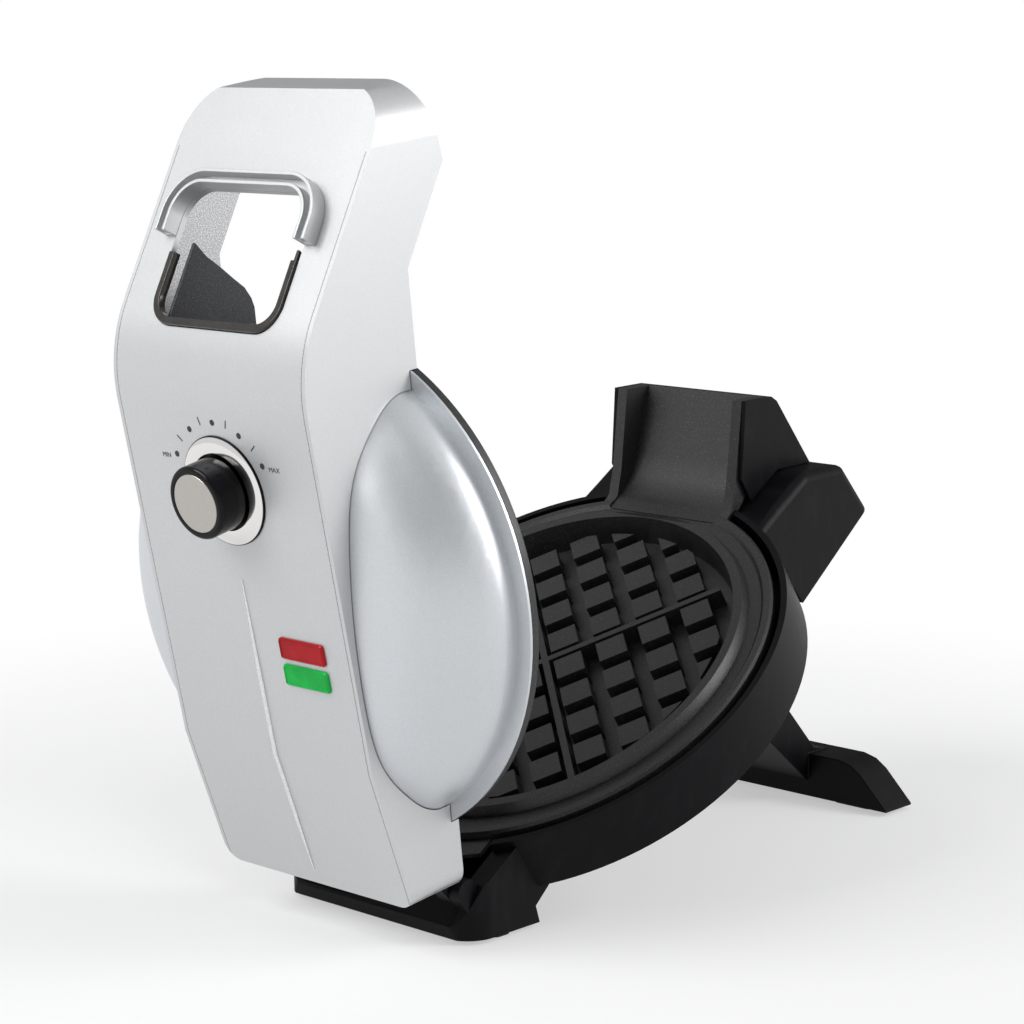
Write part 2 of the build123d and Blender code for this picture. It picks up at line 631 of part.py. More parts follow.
with BuildPart() as lid_shell:
    add(strip(0, 0, SHELL_TOP_R, SHELL_FOOT_R))
    for shift in (0, 5, 10, 15):
        add(strip(shift, SHELL_WALL, SHELL_TOP_R - SHELL_WALL, SHELL_FOOT_R - SHELL_WALL), mode=Mode.SUBTRACT)
    with BuildSketch(window):
        window_outline(0, WINDOW_HEIGHT)
    extrude(amount=30, both=True, mode=Mode.SUBTRACT)
    add(dome_room(), mode=Mode.SUBTRACT)
    with BuildSketch(lid):
        with Locations((-42.5, 4), (42.5, 4)):
            Rectangle(LUG_OUT - LUG_IN + 1, 12)
    extrude(amount=13.0, mode=Mode.SUBTRACT)
    with BuildSketch(dial):
        Circle(SHAFT_R + 1.0)
    extrude(amount=6, both=True, mode=Mode.SUBTRACT)
    with BuildSketch(lamps):
        with Locations((LENS_X, LENS_PITCH / 2), (LENS_X, -LENS_PITCH / 2)):
            Rectangle(LENS_WIDTH - 2, LENS_HEIGHT - 2)
    extrude(amount=6, both=True, mode=Mode.SUBTRACT)
lid_shell.part.label = "lid_shell"
export_step(lid_shell.part, "parts/lid_shell.step")

# ---- lid dome: one round pan, slotted under the strip --------------------------------------------------
with BuildPart() as lid_dome:
    with BuildSketch(radial(lid_disc)):
        with BuildLine():
            skin = Spline(*dome_line, (0, DOME_TOP), tangents=((-0.15, 1), (-1, 0)))
            Line(skin @ 1, (0, DOME_TOP - DOME_WALL))
            lining = Spline((0, DOME_TOP - DOME_WALL), *[(r - DOME_WALL * 0.8, n - DOME_WALL * 0.8)
                                                       for r, n in reversed(dome_line)],
                            tangents=((1, 0), (0.15, -1)))
            Polyline(lining @ 1, (dome_foot_r - DOME_WALL, flange_seat), (LID_PLATE_R, flange_seat),
                     (LID_PLATE_R, flange_face), (dome_foot_r, flange_face), skin @ 0)
        make_face()
    revolve(axis=disc_axis(lid_disc))
    with BuildSketch(lid_disc.offset(flange_face + 2)):
        Rectangle(2 * DOME_SLOT_HALF, 2 * LID_PLATE_R)
    extrude(amount=80, mode=Mode.SUBTRACT)
lid_dome.part.label = "lid_dome"
export_step(lid_dome.part, "parts/lid_dome.step")

# ---- upper plate ---------------------------------------------------------------------------------------
with BuildPart() as upper_plate:
    with BuildSketch(radial(lid_disc)):
        Polygon((0, upper_back), (CAVITY_R + PLATE_WALL, upper_back), (CAVITY_R + PLATE_WALL + 2, flange_seat),
                (LID_PLATE_R, flange_seat), (LID_PLATE_R, LID_RIM), (RIDGE_R + 4.2, LID_RIM),
                (RIDGE_R + 4.2, rim_under), (RIDGE_R - RIDGE_WIDTH - 1, rim_under), (CAVITY_R, upper_floor),
                (0, upper_floor), align=None)
    revolve(axis=disc_axis(lid_disc))
    upside = Plane(origin=lid_disc.origin, x_dir=lid_disc.x_dir, z_dir=-lid_disc.z_dir)
    waffle_grid(upside, -upper_floor, BLOCK_HEIGHT)
upper_plate.part.label = "upper_plate"
export_step(upper_plate.part, "parts/upper_plate.step")

upper_tube_n = upper_back + HEATER_TUBE
heater("upper_heater", lid_disc, upper_tube_n, 8.0)
shield("upper_heat_shield", lid_disc, upper_tube_n + HEATER_TUBE, 0.5)

# ---- hinge bracket: two lugs joined by a cross strap inside the strip ----------------------------------
LUG_OUTLINE = [(-3.5, 4.2), (3.5, -4.2), (12.0, -0.8), (15.0, 3.0), (15.0, 13.0), (8.0, 13.0)]
STRAP_HALF = SHELL_HALF - SHELL_FOOT_R
strap_foot = TOE_FRONT[0] + SHELL_WALL + FIT
STRAP_OUTLINE = [(strap_foot, 8.0), (15.0, 8.0), (15.0, 13.5), (strap_foot, 13.0)]
with BuildPart() as hinge_bracket:
    with BuildSketch(lid_side):
        Circle(KNUCKLE_R)
        Polygon(*LUG_OUTLINE, align=None)
    extrude(amount=LUG_OUT, both=True)
    with BuildSketch(lid_side):
        Rectangle(400, 400)
    extrude(amount=LUG_IN, both=True, mode=Mode.SUBTRACT)
    with BuildSketch(lid_side):
        Polygon(*STRAP_OUTLINE, align=None)
    extrude(amount=STRAP_HALF, both=True)
    with BuildSketch(lid_side):
        Circle(PIN_R + PIN_PLAY)
    extrude(amount=LUG_OUT + 1, both=True, mode=Mode.SUBTRACT)
hinge_bracket.part.label = "hinge_bracket"
export_step(hinge_bracket.part, "parts/hinge_bracket.step")

# ---- window trim, hood and batter guide ----------------------------------------------------------------
with BuildPart() as window_trim:
    with BuildSketch(window.offset(-SHELL_WALL)):
        window_outline(-FIT, WINDOW_HEIGHT)
    extrude(amount=SHELL_WALL + TRIM_RISE)
    with BuildSketch(window.offset(-6.0)):
        window_outline(-FIT - TRIM_WALL, WINDOW_HEIGHT)
        with Locations((0, TRIM_HEIGHT + 50)):
            Rectangle(200, 100)
    extrude(amount=10, mode=Mode.SUBTRACT)
window_trim.part.label = "window_trim"
export_step(window_trim.part, "parts/window_trim.step")

with BuildPart() as window_hood:
    with BuildSketch(window):
        window_outline(HOOD_WIDTH, WINDOW_HEIGHT)
        with Locations((0, WINDOW_HEIGHT - HOOD_LENGTH - 100)):
            Rectangle(200, 200, mode=Mode.SUBTRACT)
    extrude(amount=HOOD_RISE)
    with BuildSketch(window.offset(HOOD_FLOOR)):
        window_outline(HOOD_WIDTH - HOOD_WALL, WINDOW_HEIGHT)
        with Locations((0, WINDOW_HEIGHT / 2)):
            RectangleRounded(2 * (WINDOW_HALF + HOOD_WALL), WINDOW_HEIGHT + 2 * HOOD_WALL, WINDOW_R + HOOD_WALL,
                             mode=Mode.SUBTRACT)
    extrude(amount=HOOD_RISE, mode=Mode.SUBTRACT)
    with BuildSketch(window.offset(-1)):
        window_outline(0, WINDOW_HEIGHT)
    extrude(amount=HOOD_RISE + 2, mode=Mode.SUBTRACT)
window_hood.part.label = "window_hood"
export_step(window_hood.part, "parts/window_hood.step")

guide_sill = EDGE_V - 2.2
with BuildPart() as batter_guide:
    with BuildSketch(lid_side):
        Polygon((guide_sill, inside_front(guide_sill, GUIDE_DEPTH)),
                (guide_sill + 32.0, inside_front(guide_sill + 32.0, GUIDE_DEPTH)), (EDGE_V + 23.5, 31.1),
                (EDGE_V + 17.5, 24.0), (EDGE_V + 12.4, 18.5), (EDGE_V + 7.8, 13.2), (EDGE_V + 3.0, 10.2),
                (EDGE_V - 1.0, 9.0), (EDGE_V - 9.7, 9.0), align=None)
    extrude(amount=GUIDE_HALF + GUIDE_WALL, both=True)
    with BuildSketch(lid_side):
        Polygon((guide_sill + GUIDE_WALL * 1.2, 80.0), (guide_sill + 44.0, 80.0), (guide_sill + 44.0, 0.0),
                (EDGE_V - 7.9, 0.0), (EDGE_V - 7.9, 10.0), align=None)
    extrude(amount=GUIDE_HALF, both=True, mode=Mode.SUBTRACT)
batter_guide.part.label = "batter_guide"
export_step(batter_guide.part, "parts/batter_guide.step")

# ---- dial: bezel, knob, cap, shaft, thermostat ---------------------------------------------------------
with BuildPart() as dial_bezel:
    with BuildSketch(dial.offset(0)):
        Circle(BEZEL_R)
        Circle(SHAFT_R + 1.0, mode=Mode.SUBTRACT)
    extrude(amount=BEZEL_THICKNESS)
    chamfer(dial_bezel.faces().sort_by(Axis(dial.origin, dial.z_dir))[-1].outer_wire().edges(), 1.2)
dial_bezel.part.label = "dial_bezel"
export_step(dial_bezel.part, "parts/dial_bezel.step")

knob_foot = BEZEL_THICKNESS + FIT
with BuildPart() as knob:
    with BuildSketch(dial.offset(knob_foot)):
        Circle(KNOB_R)
    extrude(amount=KNOB_LENGTH)
    fillet(knob.faces().sort_by(Axis(dial.origin, dial.z_dir))[-1].edges(), 1.5)
    with BuildSketch(dial.offset(knob_foot + KNOB_LENGTH - KNOB_CAP_THICKNESS)):
        Circle(KNOB_CAP_R)
    extrude(amount=5, mode=Mode.SUBTRACT)
    with BuildSketch(dial.offset(knob_foot)):
        Circle(SHAFT_R)
    extrude(amount=10.0, mode=Mode.SUBTRACT)
knob.part.label = "knob"
export_step(knob.part, "parts/knob.step")

with BuildPart() as knob_cap:
    with BuildSketch(dial.offset(knob_foot + KNOB_LENGTH - KNOB_CAP_THICKNESS)):
        Circle(KNOB_CAP_R)
    extrude(amount=KNOB_CAP_THICKNESS)
knob_cap.part.label = "knob_cap"
export_step(knob_cap.part, "parts/knob_cap.step")

thermostat_front = -SHELL_WALL - FIT
with BuildPart() as thermostat_shaft:
    with BuildSketch(dial.offset(thermostat_front - 6.0)):
        Circle(SHAFT_R)
    extrude(amount=6.0 - thermostat_front + knob_foot + 10.0)
thermostat_shaft.part.label = "thermostat_shaft"
export_step(thermostat_shaft.part, "parts/thermostat_shaft.step")

with BuildPart() as thermostat:
    with BuildSketch(dial.offset(thermostat_front)):
        Circle(THERMOSTAT_R)
    extrude(amount=-THERMOSTAT_LENGTH)
    with BuildSketch(dial.offset(thermostat_front)):
        Circle(SHAFT_R + SHAFT_PLAY)
    extrude(amount=-6.0 - SHAFT_PLAY, mode=Mode.SUBTRACT)
thermostat.part.label = "thermostat"
export_step(thermostat.part, "parts/thermostat.step")

# ---- indicator lenses and their lamp board -------------------------------------------------------------
for node, row in (("red_lens", 0.5), ("green_lens", -0.5)):
    with BuildPart() as lens:
        with BuildSketch(lamps):
            with Locations((LENS_X, row * LENS_PITCH)):
                RectangleRounded(LENS_WIDTH, LENS_HEIGHT, 1.5)
        extrude(amount=1.5)
        chamfer(lens.faces().sort_by(Axis(lamps.origin, lamps.z_dir))[-1].edges(), 0.8)
        with BuildSketch(lamps):
            with Locations((LENS_X, row * LENS_PITCH)):
                Rectangle(LENS_WIDTH - 2 - 2 * FIT, LENS_HEIGHT - 2 - 2 * FIT)
        extrude(amount=-LENS_THICKNESS)
    lens.part.label = node
    export_step(lens.part, "parts/" + node + ".step")

with BuildPart() as lamp_board:
    with BuildSketch(lamps.offset(-LENS_THICKNESS - FIT)):
        with Locations((LENS_X - 2, 0)):
            Rectangle(34.0, 26.0)
    extrude(amount=-1.6)
lamp_board.part.label = "lamp_board"
export_step(lamp_board.part, "parts/lamp_board.step")
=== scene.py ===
"""Upright flip waffle maker, shown open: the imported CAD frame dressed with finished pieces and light."""
import json
from math import radians

import bmesh
import bpy
from mathutils import Matrix, Vector


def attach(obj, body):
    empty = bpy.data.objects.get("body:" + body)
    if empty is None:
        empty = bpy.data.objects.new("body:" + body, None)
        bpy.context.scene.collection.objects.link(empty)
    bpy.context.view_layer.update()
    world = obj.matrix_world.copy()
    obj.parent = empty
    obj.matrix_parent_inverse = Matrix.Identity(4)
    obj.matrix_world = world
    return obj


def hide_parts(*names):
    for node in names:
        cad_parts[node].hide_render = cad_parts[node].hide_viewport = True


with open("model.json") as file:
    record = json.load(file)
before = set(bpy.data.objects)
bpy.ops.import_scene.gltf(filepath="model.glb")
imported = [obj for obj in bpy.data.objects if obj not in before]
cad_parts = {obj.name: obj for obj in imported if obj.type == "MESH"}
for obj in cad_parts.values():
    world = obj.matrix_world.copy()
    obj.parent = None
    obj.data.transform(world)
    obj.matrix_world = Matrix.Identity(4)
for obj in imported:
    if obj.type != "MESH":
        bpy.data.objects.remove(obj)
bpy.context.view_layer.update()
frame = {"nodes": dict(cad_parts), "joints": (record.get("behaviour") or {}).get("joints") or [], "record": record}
MM = 0.001

# ---- sizes: degrees, and millimetres in the hinge frame of each half --------------------------------
# In that frame x runs across, v away from the hinge along the half, and n outward from its face.
LID_TILT = 96.9
BASE_TILT = 34.1

# Corners of the lid's front, each v and n, from its lower end to its waist
TOE = (4.7, 33.0)
BELLY_FOOT = (66.0, 48.5)
WAIST = (229.9, 65.0)

# Where the strip's paint changes, and where a dark line of painted shade follows each seam, as distances from the
# middle plane
SHELL_INSIDE = 52.5             # inner faces of the side walls
INSIDE_REACH = 0.1
# the seam line is painted shade, not a modelled groove
SEAM_SHADE_PLACE = 53.0
SEAM_SHADE_HALF = 0.2
SEAM_TOP = 321.0                # height above the floor where the straight walls end

# The dial: radii round its axis and heights above the lid's front
DIAL_V = 176.7
KNOB_TOP = 15.6
DOT_CIRCLE = 27.6
DOT_RADIUS = 1.25
DOT_ANGLES = (-63, -31, 0, 31, 63)
TICK_CIRCLE = DOT_CIRCLE + 1.0
TICK_ANGLES = (-47.5, -15.5, 15.5, 47.5)
TICK_LENGTH = 3.4
TICK_WIDTH = 0.5
WORD_X = 31.0
WORD_Y = 11.5
LETTER_SIZE = 2.8
PRINT_THICKNESS = 0.08
BEZEL_MIDDLE = 1.5
BEZEL_RIM = 21.9                # radius where the black rim begins
BEZEL_WELL = 15.75              # radius where the black well ends
BORDER_BLUR = 0.1
BEZEL_SIDES = 96
# Corners of the bezel's section, each a radius and a height
BEZEL_SECTION = ((3.6, 0.05), (3.6, 0.7), (15.6, 0.7), (15.8, 2.35), (16.3, 2.45), (21.6, 1.2),
                 (22.3, 0.7), (22.4, 0.05))

# The two lenses
LENS_RIM = 0.55
LENS_SINK = 0.55
FACING = 0.98                   # least cosine for a face that looks outward
LENS_EDGE = 0.28
LENS_ANGLE = 20                 # a lens has shallow corners too

# The raised line down the lid's front, with the v of its points
RIB_STOPS = (140.0, 100.0, 72.0, 66.0, 60.0, 40.0, 12.0)
RIB_RADIUS = 1.1
RIB_TIP = 0.25                  # share of the radius at both ends
RIB_LIFT = 0.2

# The rear block, and the chute before it
EDGE_V = 238.2                  # v of the skirt's far edge, where the chute rises
BLOCK_HALF = 55.0
BLOCK_SLACK = 0.4
BLOCK_LOW_N = -10.0             # corners outside this n, or beyond the edge, get the large rounding
BLOCK_ROUNDING = 5.0
CHUTE_BEND_V = EDGE_V - 0.2
CHUTE_FLOOR = 2.0
CHUTE_BEND_REACH = 4.0
CHUTE_EDGE_LEAST = 20.0         # shorter edges are left to the small rounding
CHUTE_ROUNDING = 7.0

# Light and camera: metres and degrees, the optics in millimetres
FLOOR_SIZE = 8
FLOOR_GREY = (0.80, 0.80, 0.80, 1)
SHADOW_INNER = 0.28
SHADOW_OUTER = 0.62
FLOOR_LIFT = 0.48
WORLD_TINT = (0.97, 0.985, 1, 1)
WORLD_LEVEL = 0.45
# Each dim side: its direction, the cosine where it starts, and how much it takes away
DIM_SIDES = (((-0.65, 0.72, 0.25), 0.45, 0.85), ((0.62, -0.55, 0.55), 0.80, 0.65))

CAMERA_PLACE = (0.78994, -0.869415, 0.35722)
CAMERA_PITCH = 80.5
CAMERA_HEADING = 42.75
FOCAL_LENGTH = 96.52
SENSOR_WIDTH = 36

hinge = next(joint for joint in frame["joints"] if joint["name"] == "lid_hinge")
HINGE = Vector(hinge["pos_m"])


# ---- places on the two halves ----------------------------------------------------------------------
def half_matrix(tilt):
    """Matrix from a half's local x, v, n in metres to the shared frame."""
    turn = Matrix.Rotation(radians(tilt), 4, "X")
    return Matrix.Translation(HINGE) @ turn


LID = half_matrix(LID_TILT)
BASE = half_matrix(BASE_TILT)


def face_matrix(start, end, v):
    """Matrix on a front face of the lid where it passes v: x across, y up the face, z outward."""
    slope = (end[1] - start[1]) / (end[0] - start[0])
    along = Vector((0, 1, slope)).normalized()
    spot = Vector((0, v, start[1] + slope * (v - start[0]))) * MM
    across = Vector((1, 0, 0))
    turn = Matrix((across, along, across.cross(along))).transposed().to_4x4()
    return LID @ Matrix.Translation(spot) @ turn


DIAL = face_matrix(BELLY_FOOT, WAIST, DIAL_V)


# ---- shader nodes ----------------------------------------------------------------------------------
MIX_FROM = 6                    # colour sockets of a Mix node
MIX_TO = 7
MIX_RESULT = 2


def add_node(tree, kind, settings=None, inputs=None):
    """One node of a tree: its settings first, then the values or links of its sockets."""
    made = tree.nodes.new(kind)
    for setting, value in (settings or {}).items():
        setattr(made, setting, value)
    for socket, value in (inputs or {}).items():
        if isinstance(value, Signal):
            value = value.socket
        if isinstance(value, bpy.types.NodeSocket):
            tree.links.new(value, made.inputs[socket])
        else:
            made.inputs[socket].default_value = value
    return made


def eased(tree, value, limits):
    """A value brought from one range to another by a smooth step."""
    inputs = {"Value": value, **limits}
    made = add_node(tree, "ShaderNodeMapRange", {"interpolation_type": "SMOOTHSTEP"}, inputs)
    return made.outputs["Result"]


def opaque(colour):
    """A colour with its alpha. A link stays as it is."""
    if isinstance(colour, bpy.types.NodeSocket) or len(colour) == 4:
        return colour
    return (*colour, 1.0)


class Signal:
    """A number that varies over a surface. Arithmetic on it adds Math nodes."""

    def __init__(self, finish, socket):
        self.finish = finish
        self.socket = socket

    def math(self, operation, *values):
        made = self.finish.node("ShaderNodeMath", {"operation": operation}, dict(enumerate(values)))
        return Signal(self.finish, made.outputs[0])

    def __add__(self, other):
        return self.math("ADD", self, other)

    def __radd__(self, other):
        return self.math("ADD", other, self)

    def __sub__(self, other):
        return self.math("SUBTRACT", self, other)

    def __rsub__(self, other):
        return self.math("SUBTRACT", other, self)

    def __mul__(self, other):
        return self.math("MULTIPLY", self, other)

    def __rmul__(self, other):
        return self.math("MULTIPLY", other, self)

    def below(self, level):
        return self.math("LESS_THAN", self, level)

    def size(self):
        return self.math("ABSOLUTE", self)

    def sine(self):
        return self.math("SINE", self)


class Finish:
    """A procedural material: one Principled shader and the nodes that feed it."""

    def __init__(self, name, colour, **fixed):
        self.material = bpy.data.materials.new(name)
        self.material.use_nodes = True
        self.tree = self.material.node_tree
        self.shader = self.tree.nodes["Principled BSDF"]
        self.colour = opaque(colour)
        self.shader.inputs["Base Color"].default_value = self.colour
        for socket, value in fixed.items():
            self.shader.inputs[socket.replace("_", " ")].default_value = value
        self.place = self.node("ShaderNodeTexCoord").outputs["Object"]

    def node(self, kind, settings=None, inputs=None):
        return add_node(self.tree, kind, settings, inputs)

    def noise(self, grain, detail=3.0, stretch=(1, 1, 1)):
        """Noise whose features are about grain millimetres across, stretched along the axes."""
        where = self.place
        if stretch != (1, 1, 1):
            where = self.node("ShaderNodeMapping", {}, {"Vector": self.place, "Scale": stretch}).outputs[0]
        inputs = {"Vector": where, "Scale": 1 / (grain * MM), "Detail": detail}
        return Signal(self, self.node("ShaderNodeTexNoise", {}, inputs).outputs["Fac"])

    def distance(self, centre):
        """Distance in millimetres from a point of the shared frame."""
        inputs = {0: self.place, 1: tuple(centre)}
        made = self.node("ShaderNodeVectorMath", {"operation": "DISTANCE"}, inputs)
        return Signal(self, made.outputs["Value"]) * 1000.0

    def part(self, axis):
        """One coordinate in millimetres."""
        return Signal(self, self.node("ShaderNodeSeparateXYZ", {}, {0: self.place}).outputs[axis]) * 1000.0

    def across(self):
        """Distance in millimetres from the plane that halves the object left from right."""
        return self.part("X").size()

    def step(self, signal, low, high):
        """Smooth step of a signal from 0 at low to 1 at high."""
        return Signal(self, eased(self.tree, signal, {"From Min": low, "From Max": high}))

    def tint(self, factor, other, ground=None):
        """Colour that goes from ground, or the finish's own colour, to another by a factor."""
        inputs = {"Factor": factor, MIX_FROM: opaque(ground or self.colour), MIX_TO: opaque(other)}
        return self.node("ShaderNodeMix", {"data_type": "RGBA"}, inputs).outputs[MIX_RESULT]

    def drive(self, socket, source):
        """Feeds one socket of the shader."""
        if isinstance(source, Signal):
            source = source.socket
        self.tree.links.new(source, self.shader.inputs[socket])

    def bump(self, height, depth):
        """Relief of a depth in millimetres."""
        made = self.node("ShaderNodeBump", {}, {"Height": height, "Distance": depth * MM, "Strength": 1.0})
        self.drive("Normal", made.outputs["Normal"])


# ---- finishes ---------------------------------------------------------------------------------------
def silver_paint():
    """Satin silver paint on the strip: fine flakes, a dark line of painted shade along the seam beside each wall,
    and a speckled inner wall.
    """
    paint = Finish("silver_paint", (0.54, 0.55, 0.555), Metallic=0.6, Coat_Roughness=0.3)
    flakes = paint.noise(0.35, 1.0)
    drift = paint.noise(60, 2.0)
    across = paint.across()
    shade = paint.tint(paint.step(flakes, 0.45, 0.75), (0.63, 0.64, 0.65))
    shade = paint.tint(drift * 0.3, (0.53, 0.54, 0.55), shade)
    below_corners = paint.part("Z").below(SEAM_TOP)
    inner = (across - SHELL_INSIDE).size().below(INSIDE_REACH) * below_corners
    # painted shade: a thin dark line along the seam beside each wall, in place of the shade in a groove that is
    # not modelled
    painted_seam_shade = (across - SEAM_SHADE_PLACE).size().below(SEAM_SHADE_HALF) * below_corners
    speckle = paint.step(paint.noise(0.5, 2.0), 0.4, 0.65)
    lining = paint.tint(speckle, (0.80, 0.80, 0.81), (0.42, 0.42, 0.43))
    paint.drive("Base Color", paint.tint(painted_seam_shade, (0.22, 0.22, 0.23), paint.tint(inner, lining, shade)))
    paint.drive("Roughness", 0.36 + 0.06 * paint.noise(8) + 0.05 * flakes + 0.3 * inner)
    paint.drive("Coat Weight", 0.08 + 0.06 * drift)
    paint.bump(paint.noise(1.6, 2.0) + 0.3 * flakes, 0.012)
    return paint.material


def silver_pan():
    """Satin lacquer on a pressed steel dome: softer, bluer and more metallic than the strip."""
    pan = Finish("silver_pan", (0.58, 0.60, 0.625), Metallic=0.75)
    flakes = pan.noise(0.3, 1.0)
    pan.drive("Base Color", pan.tint(pan.step(flakes, 0.4, 0.8), (0.68, 0.70, 0.72)))
    pan.drive("Roughness", 0.33 + 0.05 * pan.noise(14) + 0.04 * flakes)
    pan.bump(pan.noise(2.5, 2.0) + 0.3 * flakes, 0.010)
    return pan.material


def black_plastic():
    """Satin black moulding with a fine spark-eroded grain and faint handling marks."""
    plastic = Finish("black_plastic", (0.003, 0.003, 0.004), Specular_IOR_Level=0.10)
    grain = plastic.noise(0.5, 4.0)
    marks = plastic.noise(18, 5.0, (1, 3, 1))
    plastic.drive("Base Color", plastic.tint(plastic.step(marks, 0.45, 0.75), (0.006, 0.006, 0.007)))
    plastic.drive("Roughness", 0.34 + 0.08 * grain + 0.06 * marks)
    plastic.bump(grain, 0.02)
    return plastic.material


def coated_plate():
    """Near-black non-stick coating: very fine grey speckles and a sprayed texture on cast metal."""
    coat = Finish("coated_plate", (0.012, 0.012, 0.012), Specular_IOR_Level=0.46)
    spray = coat.noise(0.6, 4.0)
    specks = coat.noise(0.5, 1.0)
    ground = coat.tint(coat.step(spray, 0.4, 0.7), (0.017, 0.017, 0.019))
    coat.drive("Base Color", coat.tint(coat.step(specks, 0.62, 0.74), (0.085, 0.085, 0.088), ground))
    coat.drive("Roughness", 0.32 + 0.14 * spray)
    coat.bump(spray + 0.5 * specks, 0.06)
    return coat.material


def guide_coat():
    """The same kind of coating on the batter guide, greyer and more thickly speckled."""
    coat = Finish("guide_coat", (0.022, 0.023, 0.026), Specular_IOR_Level=0.35)
    spray = coat.noise(0.7, 4.0)
    specks = coat.noise(0.5, 1.0)
    ground = coat.tint(coat.step(spray, 0.4, 0.7), (0.036, 0.038, 0.043))
    coat.drive("Base Color", coat.tint(coat.step(specks, 0.60, 0.72), (0.12, 0.12, 0.13), ground))
    coat.drive("Roughness", 0.42 + 0.15 * spray)
    coat.bump(spray, 0.06)
    return coat.material


def smoked_trim():
    """Smoky brown clear plastic, glossy, with a faint mottled haze."""
    trim = Finish("smoked_trim", (0.020, 0.017, 0.015), Transmission_Weight=0.25, IOR=1.49)
    haze = trim.noise(6, 3.0)
    trim.drive("Base Color", trim.tint(trim.step(haze, 0.3, 0.7), (0.040, 0.033, 0.028)))
    trim.drive("Roughness", 0.12 + 0.08 * haze)
    trim.bump(trim.noise(3), 0.01)
    return trim.material


def chrome(centre):
    """Polished plating with hairline turning marks, a black rim outside and a black well inside."""
    plate = Finish("chrome", (0.80, 0.79, 0.78), Metallic=1.0)
    away = plate.distance(centre)
    haze = plate.noise(9, 3.0)
    rings = plate.noise(0.4, 2.0)
    rim = plate.step(away, BEZEL_RIM - BORDER_BLUR, BEZEL_RIM + BORDER_BLUR)
    well = 1 - plate.step(away, BEZEL_WELL - BORDER_BLUR, BEZEL_WELL + BORDER_BLUR)
    bright = plate.tint(haze * 0.4, (0.68, 0.67, 0.66))
    plate.drive("Base Color", plate.tint(rim + well, (0.012, 0.012, 0.013), bright))
    plate.drive("Roughness", 0.05 + 0.04 * haze + 0.3 * (rim + well))
    plate.bump(rings, 0.001)
    return plate.material


def spun_steel(centre):
    """Steel turned on a lathe: fine rings round a centre."""
    steel = Finish("cap_steel", (0.47, 0.45, 0.42), Metallic=1.0)
    away = steel.distance(centre)
    rings = 0.5 + 0.5 * (away * 22.0 + 3.0 * steel.noise(4)).sine()
    steel.drive("Base Color", steel.tint(rings * 0.5, (0.52, 0.50, 0.47)))
    steel.drive("Roughness", 0.24 + 0.10 * rings + 0.05 * steel.noise(3))
    steel.bump(rings, 0.006)
    return steel.material


def gloss_black():
    """Gloss black knob moulding with a faint haze."""
    gloss = Finish("gloss_black", (0.002, 0.002, 0.003), Specular_IOR_Level=0.16)
    haze = gloss.noise(5, 3.0)
    gloss.drive("Base Color", gloss.tint(haze * 0.5, (0.004, 0.004, 0.005)))
    gloss.drive("Roughness", 0.14 + 0.05 * haze)
    gloss.bump(gloss.noise(0.8), 0.002)
    return gloss.material


def clear_lens(name, deep, bright):
    """Clear coloured plastic over fine upright ribs, lit from behind by its lamp, with the ribs' bright and dark
    stripes painted into its colour and its glow.
    """
    lens = Finish(name, deep, Specular_IOR_Level=0.18, Emission_Strength=0.2)
    ribs = 0.5 + 0.5 * (lens.across() * 5.2).sine()
    swirl = lens.noise(7, 2.0)
    # painted light and shade: the colour is brighter along the ribs, plus random swirls
    painted_rib_light_and_swirl = lens.tint(ribs * 0.35 + lens.step(swirl, 0.35, 0.75) * 0.35, bright)
    lens.drive("Base Color", painted_rib_light_and_swirl)
    # painted shade: the glow is dimmer between the ribs
    painted_rib_shade = tuple(part * 0.6 for part in bright)
    lens.drive("Emission Color", lens.tint(ribs * 0.5, bright, painted_rib_shade))
    lens.drive("Roughness", 0.10 + 0.06 * swirl)
    lens.bump(ribs, 0.03)
    return lens.material


def printed_ink():
    """Dark grey pad print."""
    ink = Finish("printed_ink", (0.030, 0.030, 0.034), Specular_IOR_Level=0.3)
    ink.drive("Base Color", ink.tint(ink.noise(0.4) * 0.5, (0.05, 0.05, 0.055)))
    ink.drive("Roughness", 0.5 + 0.1 * ink.noise(0.5))
    return ink.material


def plain(name, colour, other, grain, rough, depth, metal):
    """Finish of an inner or small piece: two mottled colours, uneven roughness and a fine relief."""
    made = Finish(name, colour, Metallic=metal)
    mottle = made.noise(grain, 4.0)
    made.drive("Base Color", made.tint(made.step(mottle, 0.35, 0.7), other))
    made.drive("Roughness", rough + 0.12 * mottle)
    made.bump(mottle, depth)
    return made.material


finishes = {
    "silver_plastic": silver_paint(),
    "silver_pan": silver_pan(),
    "black_plastic": black_plastic(),
    "coated_plate": coated_plate(),
    "guide_coat": guide_coat(),
    "smoked_trim": smoked_trim(),
    "bezel_chrome": chrome(DIAL @ Vector((0, 0, BEZEL_MIDDLE * MM))),
    "knob_black": gloss_black(),
    "cap_steel": spun_steel(DIAL @ Vector((0, 0, KNOB_TOP * MM))),
    "red_clear": clear_lens("red_clear", (0.20, 0.002, 0.004), (0.42, 0.006, 0.012)),
    "green_clear": clear_lens("green_clear", (0.001, 0.22, 0.030), (0.004, 0.50, 0.070)),
}
